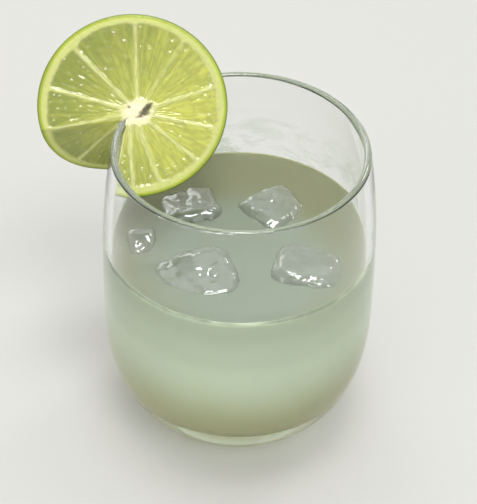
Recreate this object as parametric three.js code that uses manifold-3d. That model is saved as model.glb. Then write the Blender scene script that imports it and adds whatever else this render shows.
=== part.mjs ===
// A tequila gimlet: a cloudy lime drink with melting ice in a rounded stemless tumbler,
// and a slit wheel of lime that rides on the rim. Millimetres, +Z up.
// The origin is the middle of the glass's flat foot, and -Y is the viewer's side.
import * as THREE from 'three';
import { mergeVertices } from 'three/addons/utils/BufferGeometryUtils.js';
import Module from 'manifold-3d';

const wasm = await Module();
wasm.setup();

// Clearance between pieces that touch
const GAP = 0.3;
// Corners that a cut leaves closer than this become one
const WELD = 0.01;

// The glass: a rounded bowl that draws in towards the rim
const GLASS_HEIGHT = 101;
const RIM_RADIUS = 38;
const BELLY_RADIUS = 41.6;
const BELLY_HEIGHT = 46;
const RIM_WALL = 2.2;
const BELLY_WALL = 2.5;
const BASE_THICKNESS = 11.5;
// How far below the foot the bowl's curve would close, which sets the width of the foot
const FOOT_CUT = 2;
// 2 would make the bowl's lower part an ellipse, and more makes it squarer
const BOWL_SQUARENESS = 2.8;
// How late the wall above the belly draws in
const SHOULDER_POWER = 2.8;
// Facets round the glass and steps along its outline
const SEGMENTS_ROUND = 64;
const BOWL_STEPS = 11;
const SHOULDER_STEPS = 6;
const BEAD_STEPS = 6;
const DRINK_STEPS = 2;

// The drink, up to the level that it stands at
const DRINK_LEVEL = 68;

// The ice: melted cubes that float with their tops out of the drink
const ICE_SQUARENESS = 5;
const ICE_DENT = 0.035;
const ICE_WAVES = [2.3, 2.1, 1.9];
const ICE_STEPS = 5;
const ICE_CUBES = [
  { place: [-12, -18, 60], size: [25, 22, 20], turn: [8, -5, 20] },
  { place: [20, -14, 60.6], size: [22, 20, 19], turn: [-7, 7, -16] },
  { place: [10, 13, 59.8], size: [20, 20, 20], turn: [7, 8, 34] },
  { place: [-15, 12.5, 60.2], size: [20, 19, 19], turn: [-10, -7, 8] },
  { place: [-30, -3.5, 63.6], size: [9, 11, 12], turn: [12, 8, 10] },
];

// The lime wheel, in millimetres from its core: across to the right and up its face
const WHEEL_WIDE = 27.95;
const WHEEL_TALL = 26.85;
const WHEEL_THICKNESS = 4.6;
const WHEEL_CORE = new THREE.Vector3(-31, 14.6, 102.1);
const WHEEL_LEAN = 38;
const WHEEL_TURN = 4;
const WHEEL_MIDDLE = new THREE.Vector2(-1.4, 2);
const RIND_WIDTH = 2.4;
const RIND_EDGE = 0.62;
const FLESH_SINK = 0.35;
const CORE_RADIUS = 4.4;
// Directions of the membranes between the segments, in degrees from the right
const MEMBRANES = [266, 287, 319.5, 347, 377, 416, 450, 493, 523.5, 550, 577.5];
// The slit: where it leaves the core, and how far the glass pushes its start aside
const SLIT_ANGLE = 252;
const SLIT_START = 2;
const SLIT_PUSH = 2.8;
const SLIT_REACH = 60;
// The lobe outside the glass droops from the top of the slit
const DROOP = 52;
const DROOP_FROM = 186;
const DROOP_TO = 262;

const COLOURS = {
  glass: { color: 0xdfe8e2, roughness: 0.05, metalness: 0 },
  drink: { color: 0xb4c2a6, roughness: 0.2, metalness: 0 },
  ice: { color: 0xc3cfc0, roughness: 0.1, metalness: 0 },
  lime: { color: 0xb3bd55, roughness: 0.35, metalness: 0 },
};

const radians = THREE.MathUtils.degToRad;

// Outer radius of the glass at a height
function outerRadius(z) {
  if (z < BELLY_HEIGHT) {
    const share = (BELLY_HEIGHT - z) / (BELLY_HEIGHT + FOOT_CUT);
    return BELLY_RADIUS * (1 - share ** BOWL_SQUARENESS) ** (1 / BOWL_SQUARENESS);
  }
  const rise = (z - BELLY_HEIGHT) / (GLASS_HEIGHT - BELLY_HEIGHT);
  return BELLY_RADIUS - (BELLY_RADIUS - RIM_RADIUS) * rise ** SHOULDER_POWER;
}

// Inner radius of the glass at a height above the thick base
function innerRadius(z) {
  if (z < BELLY_HEIGHT) {
    const share = (BELLY_HEIGHT - z) / (BELLY_HEIGHT - BASE_THICKNESS);
    const inside = Math.max(0, 1 - share ** BOWL_SQUARENESS);
    return (BELLY_RADIUS - BELLY_WALL) * inside ** (1 / BOWL_SQUARENESS);
  }
  const rise = (z - BELLY_HEIGHT) / (GLASS_HEIGHT - BELLY_HEIGHT);
  return outerRadius(z) - BELLY_WALL + (BELLY_WALL - RIM_WALL) * rise;
}

// Heights that follow the bowl's curve evenly, from its lowest point up to the belly
function bowlHeights(lowest, depth) {
  const start = Math.acos(((BELLY_HEIGHT - lowest) / depth) ** (BOWL_SQUARENESS / 2));
  const heights = [];
  for (let i = 0; i <= BOWL_STEPS; i += 1) {
    const angle = start + (Math.PI / 2 - start) * (i / BOWL_STEPS);
    heights.push(BELLY_HEIGHT - depth * Math.cos(angle) ** (2 / BOWL_SQUARENESS));
  }
  return heights;
}

// Heights above the belly, up to a top
function shoulderHeights(top, steps) {
  const heights = [];
  for (let i = 1; i <= steps; i += 1) {
    heights.push(BELLY_HEIGHT + (top - BELLY_HEIGHT) * (i / steps));
  }
  return heights;
}

// Moves an open outline of (radius, height) sideways by a distance, to its left
function offsetOutline(points, distance) {
  return points.map((point, i) => {
    const before = points[Math.max(0, i - 1)];
    const after = points[Math.min(points.length - 1, i + 1)];
    const along = after.clone().sub(before).normalize();
    return new THREE.Vector2(point.x - along.y * distance, point.y + along.x * distance);
  });
}

// Turns an outline of (radius, height) about the upright axis
function lathe(points) {
  return new THREE.LatheGeometry(points, SEGMENTS_ROUND).rotateX(Math.PI / 2);
}

// The half circle that rounds the rim, from outside over the top to inside
function rimBead(grow = 0) {
  const radius = RIM_WALL / 2;
  const top = GLASS_HEIGHT - radius;
  const middle = (outerRadius(top) + innerRadius(top)) / 2;
  const points = [];
  for (let i = 0; i <= BEAD_STEPS; i += 1) {
    const angle = Math.PI * (i / BEAD_STEPS);
    const reach = radius + grow;
    points.push(new THREE.Vector2(middle + reach * Math.cos(angle), top + reach * Math.sin(angle)));
  }
  return points;
}

function glassGeometry() {
  const shoulder = shoulderHeights(GLASS_HEIGHT - RIM_WALL / 2, SHOULDER_STEPS).slice(0, -1);
  const outer = [...bowlHeights(0, BELLY_HEIGHT + FOOT_CUT), ...shoulder];
  const inner = [...bowlHeights(BASE_THICKNESS, BELLY_HEIGHT - BASE_THICKNESS), ...shoulder];
  return lathe([
    new THREE.Vector2(0, 0),
    ...outer.map((z) => new THREE.Vector2(outerRadius(z), z)),
    ...rimBead(),
    ...inner.reverse().map((z) => new THREE.Vector2(innerRadius(z), z)),
  ]);
}

// The space that the drink fills: inside the wall, from the base up to the level
function drinkGeometry() {
  const heights = [
    ...bowlHeights(BASE_THICKNESS, BELLY_HEIGHT - BASE_THICKNESS),
    ...shoulderHeights(DRINK_LEVEL, DRINK_STEPS),
  ];
  const wall = heights.map((z) => new THREE.Vector2(innerRadius(z), z));
  const edge = offsetOutline(wall, GAP);
  edge[0].x = 0;
  edge[edge.length - 1].y = DRINK_LEVEL;
  return lathe([...edge, new THREE.Vector2(0, DRINK_LEVEL)]);
}

// The upper wall of the glass and the clearance round it, which the lime keeps out of
function wallBandGeometry() {
  const top = GLASS_HEIGHT - RIM_WALL / 2;
  const heights = [BELLY_HEIGHT, ...shoulderHeights(top, SHOULDER_STEPS).slice(0, -1)];
  const outside = heights.map((z) => new THREE.Vector2(outerRadius(z) + GAP, z));
  const inside = heights.map((z) => new THREE.Vector2(innerRadius(z) - GAP, z)).reverse();
  return lathe([...outside, ...rimBead(GAP), ...inside, outside[0].clone()]);
}

// A cube with soft edges and shallow dents, worked out from its direction from the middle
function iceGeometry({ place, size, turn }, number, grow = 0) {
  const geometry = new THREE.BoxGeometry(2, 2, 2, ICE_STEPS, ICE_STEPS, ICE_STEPS);
  const corners = geometry.attributes.position;
  const half = new THREE.Vector3(...size).divideScalar(2).addScalar(grow);
  const point = new THREE.Vector3();
  for (let i = 0; i < corners.count; i += 1) {
    point.fromBufferAttribute(corners, i);
    const powers = point.toArray().map((value) => Math.abs(value) ** ICE_SQUARENESS);
    const roundness = (powers[0] + powers[1] + powers[2]) ** (1 / ICE_SQUARENESS);
    const dents = ICE_WAVES.map((wave, j) => Math.sin(wave * point.getComponent(j) + number * (j + 1)));
    point.multiplyScalar((1 + ICE_DENT * dents[0] * dents[1] * dents[2]) / roundness).multiply(half);
    corners.setXYZ(i, point.x, point.y, point.z);
  }
  geometry.applyMatrix4(new THREE.Matrix4().makeRotationFromEuler(new THREE.Euler(...turn.map(radians))));
  geometry.translate(...place);
  return geometry;
}

// The wheel's own directions: across its face, up its face and out of its face
const wheelOut = new THREE.Vector3(0, -Math.cos(radians(WHEEL_LEAN)), Math.sin(radians(WHEEL_LEAN)));
wheelOut.applyAxisAngle(new THREE.Vector3(0, 0, 1), radians(WHEEL_TURN));
const wheelAcross = new THREE.Vector3(Math.cos(radians(WHEEL_TURN)), Math.sin(radians(WHEEL_TURN)), 0);
const wheelUp = wheelOut.clone().cross(wheelAcross);

// Distance from the core to the peel, as the core lies off the middle
function peelDistance(angle) {
  const way = new THREE.Vector2(Math.cos(angle) / WHEEL_WIDE, Math.sin(angle) / WHEEL_TALL);
  const middle = new THREE.Vector2(WHEEL_MIDDLE.x / WHEEL_WIDE, WHEEL_MIDDLE.y / WHEEL_TALL);
  const along = middle.dot(way);
  return (along + Math.sqrt(along ** 2 + way.lengthSq() * (1 - middle.lengthSq()))) / way.lengthSq();
}

// A point of the flat face, pushed aside near the slit by the glass wall
function facePoint(distance, angle) {
  const peel = peelDistance(angle);
  const fromSlit = Math.abs(((THREE.MathUtils.radToDeg(angle) - SLIT_ANGLE + 540) % 360) - 180);
  const nearness = fromSlit < SLIT_REACH ? Math.cos(radians((fromSlit / SLIT_REACH) * 90)) ** 2 : 0;
  const beyond = (peel - distance) / (peel - SLIT_START);
  const push = SLIT_PUSH * nearness * Math.min(distance / SLIT_START, beyond);
  return new THREE.Vector2(distance * Math.cos(angle) - push, distance * Math.sin(angle));
}

// Places a point of the wheel, at a height above its middle plane; only the outside lobe droops
function wheelPoint(distance, angle, height, outside) {
  const flat = facePoint(distance, angle);
  const start = facePoint(SLIT_START, radians(SLIT_ANGLE));
  const arm = flat.clone().sub(start);
  const bearing = THREE.MathUtils.radToDeg(Math.atan2(arm.y, arm.x)) + 360;
  const droops = outside && bearing < 360 && bearing > DROOP_FROM;
  const share = droops ? Math.min(1, (bearing - DROOP_FROM) / (DROOP_TO - DROOP_FROM)) : 0;
  const bend = radians(DROOP) * Math.sin(share * Math.PI / 2);
  const reach = arm.length();
  const way = wheelAcross.clone().multiplyScalar(reach ? arm.x / reach : 0);
  way.addScaledVector(wheelUp, reach ? arm.y / reach : 0);
  const point = WHEEL_CORE.clone().addScaledVector(wheelAcross, start.x).addScaledVector(wheelUp, start.y);
  point.addScaledVector(way, reach * Math.cos(bend)).addScaledVector(wheelOut, -reach * Math.sin(bend));
  const normal = wheelOut.clone().multiplyScalar(Math.cos(bend)).addScaledVector(way, Math.sin(bend));
  return point.addScaledVector(normal, height);
}

// Angles round the wheel, in degrees: each segment of flesh has a membrane, a slope and a floor
function wheelAngles() {
  const borders = [SLIT_ANGLE, ...MEMBRANES, SLIT_ANGLE + 360];
  const angles = [];
  for (let i = 0; i < borders.length - 1; i += 1) {
    const width = borders[i + 1] - borders[i];
    for (const share of [0, 0.12, 0.37, 0.63, 0.88]) {
      angles.push({ degrees: borders[i] + width * share, sink: share ? 1 : 0 });
    }
  }
  angles.push({ degrees: SLIT_ANGLE + 360, sink: 0 });
  return angles;
}

// The wheel as a grid of rings and angles, front and back, slit from its third ring outwards
function wheelGeometry() {
  const angles = wheelAngles();
  const rings = [
    { share: 0, sink: 0, full: 1 },
    { distance: SLIT_START, sink: 0, full: 1 },
    { distance: CORE_RADIUS, sink: 0, full: 1 },
    { distance: CORE_RADIUS + 1, sink: 1, full: 1 },
    ...[0.36, 0.5, 0.64, 0.78].map((share) => ({ share, sink: 1, full: 1 })),
    { inset: RIND_WIDTH + 0.6, sink: 1, full: 1 },
    { inset: RIND_WIDTH, sink: 0, full: 1 },
    { inset: 0.8, sink: 0, full: 1 },
    { inset: 0, sink: 0, full: RIND_EDGE },
  ];
  const slitRing = 1;
  const last = angles.length - 1;
  const vertices = [];
  const index = new Map();
  for (const side of [1, -1]) {
    rings.forEach((ring, j) => {
      angles.forEach((angle, i) => {
        const bearing = radians(angle.degrees);
        const peel = peelDistance(bearing);
        const distance = ring.distance ?? (ring.inset === undefined ? ring.share * peel : peel - ring.inset);
        const height = side * (WHEEL_THICKNESS / 2 * ring.full - FLESH_SINK * ring.sink * angle.sink);
        const outside = angle.degrees > SLIT_ANGLE + 180;
        const point = wheelPoint(distance, bearing, height, outside);
        index.set(`${side},${j},${i}`, vertices.length / 3);
        vertices.push(point.x, point.y, point.z);
      });
    });
  }
  const corner = (side, j, i) => {
    const turn = j <= slitRing && i === last ? 0 : i;
    return index.get(`${side},${j},${j === 0 ? 0 : turn}`);
  };
  const faces = [];
  const quad = (a, b, c, d) => faces.push(a, b, c, a, c, d);
  for (let i = 0; i < last; i += 1) {
    faces.push(corner(1, 0, 0), corner(1, 1, i), corner(1, 1, i + 1));
    faces.push(corner(-1, 0, 0), corner(-1, 1, i + 1), corner(-1, 1, i));
    for (let j = 1; j < rings.length - 1; j += 1) {
      quad(corner(1, j, i), corner(1, j + 1, i), corner(1, j + 1, i + 1), corner(1, j, i + 1));
      quad(corner(-1, j, i), corner(-1, j, i + 1), corner(-1, j + 1, i + 1), corner(-1, j + 1, i));
    }
    const j = rings.length - 1;
    quad(corner(1, j, i), corner(-1, j, i), corner(-1, j, i + 1), corner(1, j, i + 1));
  }
  for (let j = slitRing; j < rings.length - 1; j += 1) {
    quad(corner(1, j, 0), corner(-1, j, 0), corner(-1, j + 1, 0), corner(1, j + 1, 0));
    quad(corner(1, j, last), corner(1, j + 1, last), corner(-1, j + 1, last), corner(-1, j, last));
  }
  const geometry = new THREE.BufferGeometry();
  geometry.setAttribute('position', new THREE.Float32BufferAttribute(vertices, 3));
  geometry.setIndex(faces);
  return geometry;
}

// A closed mesh as a solid that can be cut
function solid(geometry) {
  const bare = geometry.clone();
  bare.deleteAttribute('normal');
  bare.deleteAttribute('uv');
  const merged = mergeVertices(bare);
  return new wasm.Manifold(new wasm.Mesh({
    numProp: 3,
    vertProperties: new Float32Array(merged.attributes.position.array),
    triVerts: new Uint32Array(merged.index.array),
  }));
}

// A cut solid as a mesh's geometry again, with the hair-thin triangles that a cut leaves drawn together
function geometryOf(cutSolid) {
  const mesh = cutSolid.getMesh();
  const geometry = new THREE.BufferGeometry();
  geometry.setAttribute('position', new THREE.BufferAttribute(new Float32Array(mesh.vertProperties), 3));
  geometry.setIndex(new THREE.BufferAttribute(new Uint32Array(mesh.triVerts), 1));
  const welded = mergeVertices(geometry, WELD);
  const corners = welded.index.array;
  const kept = [];
  for (let i = 0; i < corners.length; i += 3) {
    const [a, b, c] = corners.slice(i, i + 3);
    if (a !== b && b !== c && c !== a) kept.push(a, b, c);
  }
  welded.setIndex(kept);
  return welded;
}

function piece(name, geometry, look) {
  const mesh = new THREE.Mesh(geometry, new THREE.MeshStandardMaterial(look));
  mesh.name = name;
  return mesh;
}

const group = new THREE.Group();
group.name = 'tequila_gimlet';
group.add(piece('glass', glassGeometry(), COLOURS.glass));

let drink = solid(drinkGeometry());
ICE_CUBES.forEach((cube, i) => {
  drink = drink.subtract(solid(iceGeometry(cube, i + 1, GAP)));
  group.add(piece(`ice_cube_${i + 1}`, iceGeometry(cube, i + 1), COLOURS.ice));
});
group.add(piece('drink', geometryOf(drink), COLOURS.drink));

const wheel = solid(wheelGeometry()).subtract(solid(wallBandGeometry()));
const largest = wheel.decompose().sort((a, b) => b.volume() - a.volume())[0];
group.add(piece('lime_wheel', geometryOf(largest), COLOURS.lime));

export default group;
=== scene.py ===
"""A tequila gimlet: a cloudy iced lime drink in a stemless tumbler, with a lime wheel on the rim.

Everything is in metres, +Z up, with the middle of the glass's foot at the origin and the viewer at -Y.
"""
import math

import bmesh
import bpy
import numpy as np
from bpy.props import FloatProperty, FloatVectorProperty, IntProperty, PointerProperty
from bpy.types import Operator, Panel, PropertyGroup
from mathutils import Matrix, Vector, noise


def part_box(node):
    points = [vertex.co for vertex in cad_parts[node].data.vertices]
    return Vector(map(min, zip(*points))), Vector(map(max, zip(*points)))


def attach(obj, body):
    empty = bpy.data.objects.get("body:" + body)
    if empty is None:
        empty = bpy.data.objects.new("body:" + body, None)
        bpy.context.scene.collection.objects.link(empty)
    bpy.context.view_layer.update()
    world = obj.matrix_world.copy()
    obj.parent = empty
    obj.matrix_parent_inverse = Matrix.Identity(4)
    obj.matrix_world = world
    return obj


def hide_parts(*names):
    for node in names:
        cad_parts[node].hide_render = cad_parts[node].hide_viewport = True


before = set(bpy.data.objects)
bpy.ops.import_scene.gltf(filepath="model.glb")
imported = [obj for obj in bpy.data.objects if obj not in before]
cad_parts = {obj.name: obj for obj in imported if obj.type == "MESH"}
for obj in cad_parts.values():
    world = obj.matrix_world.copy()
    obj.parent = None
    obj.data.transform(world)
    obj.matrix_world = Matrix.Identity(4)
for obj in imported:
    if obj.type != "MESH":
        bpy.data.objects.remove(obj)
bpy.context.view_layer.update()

bl_info = {
    "name": "Tequila gimlet",
    "version": (1, 0, 0),
    "blender": (4, 5, 0),
    "location": "3D View > Sidebar > Gimlet",
    "description": "Makes an iced lime drink in a tumbler, with a lime wheel on its rim",
    "category": "Mesh",
}

BODY = "root"
MM = 0.001
# A length that counts as none
TINY = 1e-9

# Sizes that come from the frame
GLASS_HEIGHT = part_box("glass")[1].z
BELLY_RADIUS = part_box("glass")[1].x
DRINK_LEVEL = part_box("drink")[1].z
GAP = 0.3 * MM
BASE_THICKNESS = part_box("drink")[0].z - GAP
ICE_NODES = sorted(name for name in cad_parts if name.startswith("ice_cube"))

# The glass's shape, and steps along the bowl and the shoulder
RIM_RADIUS = 38 * MM
BELLY_HEIGHT = 46 * MM
RIM_WALL = 2.2 * MM
BELLY_WALL = 2.5 * MM
FOOT_CUT = 2 * MM
FOOT_EDGE = ((-0.8 * MM, 0.0), (-0.25 * MM, 0.04 * MM))
BOWL_SQUARENESS = 2.8
SHOULDER_POWER = 2.8
BOWL_STEPS = 36
SHOULDER_STEPS = 26
BEAD_STEPS = 14

# The lime wheel's place and shape, across and up its face from its core
WHEEL_WIDE = 27.95 * MM
WHEEL_TALL = 26.85 * MM
WHEEL_THICKNESS = 4.6 * MM
WHEEL_CORE = Vector((-31, 14.6, 102.1)) * MM
WHEEL_MIDDLE = np.array((-1.4, 2)) * MM
WHEEL_LEAN = math.radians(38)
WHEEL_TURN = math.radians(4)
SLIT_ANGLE = 252
SLIT_START = 2 * MM
SLIT_PUSH = 2.8 * MM
SLIT_REACH = 60
DROOP = math.radians(52)
DROOP_FROM = 186
DROOP_TO = 262
# Directions of the membranes between the segments, in degrees from the right
MEMBRANES = (266, 287, 319.5, 347, 377, 416, 450, 493, 523.5, 550, 577.5)
# How plainly each membrane shows, from one side of the slit round to the other
PLAINNESS = (0.9, 1.0, 0.9, 1.0, 0.8, 1.0, 0.4, 0.8, 1.0, 1.0, 0.8, 0.8, 0.9)


class GimletGlass(PropertyGroup):
    """The tumbler"""

    segments: IntProperty(name="Segments", description="Facets round the glass", default=160, min=24)
    tint: FloatVectorProperty(
        name="Tint",
        description="Colour that the clear glass lends",
        subtype="COLOR",
        default=(0.985, 1.0, 0.992),
    )


class GimletDrink(PropertyGroup):
    """The drink"""

    level: FloatProperty(
        name="Level", description="Height of the drink's surface", unit="LENGTH", default=DRINK_LEVEL
    )
    climb: FloatProperty(
        name="Climb", description="How far the drink climbs the glass wall", unit="LENGTH", default=0.7 * MM
    )
    upper: FloatVectorProperty(
        name="Upper",
        description="Colour of the body under its surface",
        subtype="COLOR",
        default=(0.575, 0.645, 0.50),
    )
    lower: FloatVectorProperty(
        name="Lower",
        description="Colour of the body near the base",
        subtype="COLOR",
        default=(0.50, 0.508, 0.255),
    )
    # The pale foot is painted light, as if light gathered in the thick base
    foot: FloatVectorProperty(
        name="Foot",
        description="Colour of the body on the base",
        subtype="COLOR",
        default=(0.92, 0.93, 0.64),
    )
    middle: FloatVectorProperty(
        name="Middle",
        description="Colour of the surface between the ice",
        subtype="COLOR",
        default=(0.208, 0.243, 0.188),
    )
    # The darker olive near the wall and at the back is painted shade
    edge: FloatVectorProperty(
        name="Edge",
        description="Colour of the surface near the wall",
        subtype="COLOR",
        default=(0.196, 0.206, 0.124),
    )


class GimletIce(PropertyGroup):
    """The ice"""

    melt: FloatProperty(
        name="Melt", description="Depth of the melted dents", unit="LENGTH", default=0.9 * MM
    )
    tint: FloatVectorProperty(
        name="Tint", description="Colour of the ice", subtype="COLOR", default=(0.19, 0.22, 0.172)
    )


class GimletLime(PropertyGroup):
    """The lime wheel"""

    rind: FloatProperty(
        name="Rind", description="Width of the peel and pith together", unit="LENGTH", default=2.5 * MM
    )
    peel: FloatVectorProperty(
        name="Peel", description="Colour of the green peel", subtype="COLOR", default=(0.35, 0.41, 0.028)
    )
    pith: FloatVectorProperty(
        name="Pith",
        description="Colour of the pith and membranes",
        subtype="COLOR",
        default=(0.61, 0.63, 0.25),
    )
    flesh: FloatVectorProperty(
        name="Flesh", description="Colour of the juicy flesh", subtype="COLOR", default=(0.485, 0.49, 0.092)
    )


def glass_outer(z):
    """Outer radius of the glass at each height."""
    z = np.asarray(z, float)
    share = np.clip(BELLY_HEIGHT - z, 0, None) / (BELLY_HEIGHT + FOOT_CUT)
    bowl = BELLY_RADIUS * (1 - share**BOWL_SQUARENESS) ** (1 / BOWL_SQUARENESS)
    rise = np.clip(z - BELLY_HEIGHT, 0, None) / (GLASS_HEIGHT - BELLY_HEIGHT)
    shoulder = BELLY_RADIUS - (BELLY_RADIUS - RIM_RADIUS) * rise**SHOULDER_POWER
    return np.where(z < BELLY_HEIGHT, bowl, shoulder)


def glass_inner(z):
    """Inner radius of the glass at each height above its thick base."""
    z = np.asarray(z, float)
    share = np.clip(BELLY_HEIGHT - z, 0, None) / (BELLY_HEIGHT - BASE_THICKNESS)
    rounding = np.clip(1 - share**BOWL_SQUARENESS, 0, 1) ** (1 / BOWL_SQUARENESS)
    bowl = (BELLY_RADIUS - BELLY_WALL) * rounding
    rise = np.clip(z - BELLY_HEIGHT, 0, None) / (GLASS_HEIGHT - BELLY_HEIGHT)
    shoulder = glass_outer(z) - BELLY_WALL + (BELLY_WALL - RIM_WALL) * rise
    return np.where(z < BELLY_HEIGHT, bowl, shoulder)


def bowl_heights(lowest, depth, steps):
    """Heights that follow the bowl's curve evenly, from its lowest point to just below the belly."""
    start = math.acos(((BELLY_HEIGHT - lowest) / depth) ** (BOWL_SQUARENESS / 2))
    angles = np.linspace(start, math.pi / 2, steps, endpoint=False)
    return BELLY_HEIGHT - depth * np.cos(angles) ** (2 / BOWL_SQUARENESS)


def shoulder_heights():
    """Heights from the belly to just below the rounded rim."""
    return np.linspace(BELLY_HEIGHT, GLASS_HEIGHT - RIM_WALL / 2, SHOULDER_STEPS, endpoint=False)


def rim_bead(grow=0.0):
    """The half circle that rounds the rim, from outside over the top to inside."""
    top = GLASS_HEIGHT - RIM_WALL / 2
    middle = (glass_outer(top) + glass_inner(top)) / 2
    radius = RIM_WALL / 2 + grow
    angles = np.linspace(0, math.pi, BEAD_STEPS)
    return [(middle + radius * math.cos(a), top + radius * math.sin(a)) for a in angles]


def mesh_object(name, points, faces):
    """A new mesh object in the scene, shaded smooth."""
    mesh = bpy.data.meshes.new(name)
    mesh.from_pydata([tuple(p) for p in points], [], faces)
    mesh.validate()
    mesh.polygons.foreach_set("use_smooth", [True] * len(mesh.polygons))
    made = bpy.data.objects.new(name, mesh)
    bpy.context.scene.collection.objects.link(made)
    return made


def turned(name, outline, segments, closed=False):
    """Turns an outline of (radius, height) about the upright axis; an open outline ends on the axis."""
    points, rings = [], []
    angles = np.linspace(0, 2 * math.pi, segments, endpoint=False)
    for radius, height in outline:
        if radius < TINY:
            rings.append([len(points)] * segments)
            points.append((0, 0, height))
            continue
        rings.append(list(range(len(points), len(points) + segments)))
        points.extend((radius * math.cos(a), radius * math.sin(a), height) for a in angles)
    faces = []
    for low, high in zip(rings, rings[1:] + rings[:1] if closed else rings[1:]):
        for i in range(segments):
            j = (i + 1) % segments
            faces.append(list(dict.fromkeys((low[i], low[j], high[j], high[i]))))
    return mesh_object(name, points, faces)


def with_modifiers(piece):
    """Turns a piece's modifiers into plain mesh."""
    graph = bpy.context.evaluated_depsgraph_get()
    graph.update()
    mesh = bpy.data.meshes.new_from_object(piece.evaluated_get(graph), depsgraph=graph)
    piece.modifiers.clear()
    piece.data = mesh


def cut(piece, cutters):
    """Takes the cutters away from a piece, and removes them."""
    for cutter in cutters:
        modifier = piece.modifiers.new("cut", "BOOLEAN")
        modifier.operation = "DIFFERENCE"
        modifier.solver = "MANIFOLD"
        modifier.object = cutter
    with_modifiers(piece)
    for cutter in cutters:
        bpy.data.objects.remove(cutter)
    return piece


def keep_largest(piece):
    """Removes the loose scraps that a cut leaves."""
    shape = bmesh.new()
    shape.from_mesh(piece.data)
    left, islands = set(shape.verts), []
    while left:
        island, todo = set(), {next(iter(left))}
        while todo:
            vert = todo.pop()
            island.add(vert)
            todo |= {edge.other_vert(vert) for edge in vert.link_edges} - island
        islands.append(island)
        left -= island
    islands.sort(key=len)
    scraps = [vert for island in islands[:-1] for vert in island]
    bmesh.ops.delete(shape, geom=scraps, context="VERTS")
    shape.to_mesh(piece.data)
    shape.free()


def settle(piece, slot, *nodes):
    """Puts a piece on the body it rides on and hides the frame's parts that it stands for; the slot is not
    used.
    """
    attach(piece, BODY)
    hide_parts(*nodes)


def fill(made, **inputs):
    """Sets the inputs of a shader node by name, or by number as in_0."""
    for name, value in inputs.items():
        key = int(name[3:]) if name.startswith("in_") else name.replace("_", " ")
        made.inputs[key].default_value = value
    return made


def node(tree, kind, **inputs):
    """A new shader node with its inputs set."""
    return fill(tree.nodes.new(kind), **inputs)


def link_place(tree, *targets):
    """Feeds each point's place on its piece to the first input of some nodes."""
    place = tree.nodes.new("ShaderNodeTexCoord")
    for target in targets:
        tree.links.new(place.outputs["Object"], target.inputs[0])


def blank_material(name):
    """A material with only its output and a Principled shader."""
    material = bpy.data.materials.new(name)
    material.use_nodes = True
    tree = material.node_tree
    tree.nodes.clear()
    output = tree.nodes.new("ShaderNodeOutputMaterial")
    shader = tree.nodes.new("ShaderNodeBsdfPrincipled")
    tree.links.new(shader.outputs["BSDF"], output.inputs["Surface"])
    return material, tree, shader, output


def rgba(colour):
    """A colour as shader sockets take it."""
    return (*colour[:3], 1.0)


def shade(colour, tone):
    """A colour made darker or paler, by one factor or by one for each channel."""
    return np.multiply(colour[:3], tone).tolist()


def unevenness_group():
    """Unevenness of a wet or polished surface: a roughness and a normal that vary over it."""
    tree = bpy.data.node_groups.get("surface_unevenness")
    if tree:
        return tree
    tree = bpy.data.node_groups.new("surface_unevenness", "ShaderNodeTree")
    for label in ("Scale", "Smooth", "Rough", "Depth"):
        tree.interface.new_socket(label, in_out="INPUT", socket_type="NodeSocketFloat")
    tree.interface.new_socket("Roughness", in_out="OUTPUT", socket_type="NodeSocketFloat")
    tree.interface.new_socket("Normal", in_out="OUTPUT", socket_type="NodeSocketVector")
    given = tree.nodes.new("NodeGroupInput")
    result = tree.nodes.new("NodeGroupOutput")
    waves = node(tree, "ShaderNodeTexNoise", Detail=3.0, Roughness=0.55)
    spread = node(tree, "ShaderNodeMapRange", in_1=0.35, in_2=0.7)
    bump = node(tree, "ShaderNodeBump", Strength=1.0)
    link = tree.links.new
    link_place(tree, waves)
    link(given.outputs["Scale"], waves.inputs["Scale"])
    link(waves.outputs["Fac"], spread.inputs["Value"])
    link(given.outputs["Smooth"], spread.inputs["To Min"])
    link(given.outputs["Rough"], spread.inputs["To Max"])
    link(spread.outputs["Result"], result.inputs["Roughness"])
    link(waves.outputs["Fac"], bump.inputs["Height"])
    link(given.outputs["Depth"], bump.inputs["Distance"])
    link(bump.outputs["Normal"], result.inputs["Normal"])
    return tree


def add_unevenness(tree, shader, scale, smooth, rough, depth):
    """Places the unevenness in a material and feeds its shader."""
    group = tree.nodes.new("ShaderNodeGroup")
    group.node_tree = unevenness_group()
    for number, value in enumerate((scale, smooth, rough, depth)):
        group.inputs[number].default_value = value
    for name in ("Roughness", "Normal"):
        tree.links.new(group.outputs[name], shader.inputs[name])


def let_lamps_through(tree, shader, output, tint):
    """Lets light from the lamps pass a clear surface, so that what lies behind it is lit."""
    path = tree.nodes.new("ShaderNodeLightPath")
    clear = node(tree, "ShaderNodeBsdfTransparent", Color=rgba(tint))
    mix = tree.nodes.new("ShaderNodeMixShader")
    tree.links.new(path.outputs["Is Shadow Ray"], mix.inputs[0])
    tree.links.new(shader.outputs["BSDF"], mix.inputs[1])
    tree.links.new(clear.outputs["BSDF"], mix.inputs[2])
    tree.links.new(mix.outputs["Shader"], output.inputs["Surface"])


def soften(shader, weight, radius, scale):
    """Lets light wander under a surface, farther in some colours than in others."""
    fill(shader, Subsurface_Weight=weight, Subsurface_Radius=radius, Subsurface_Scale=scale)


def glass_material(tint):
    """Clear polished glass."""
    material, tree, shader, output = blank_material("clear_glass")
    fill(shader, Base_Color=rgba(tint), IOR=1.5, Transmission_Weight=1.0)
    add_unevenness(tree, shader, scale=45.0, smooth=0.0, rough=0.03, depth=0.02 * MM)
    let_lamps_through(tree, shader, output, tint=(0.93, 0.96, 0.94))
    return material


# The height over which the ice changes from the drink's tone to its own, and its share of that tone
ICE_FADE = 5 * MM
ICE_TONE = 0.85


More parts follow.
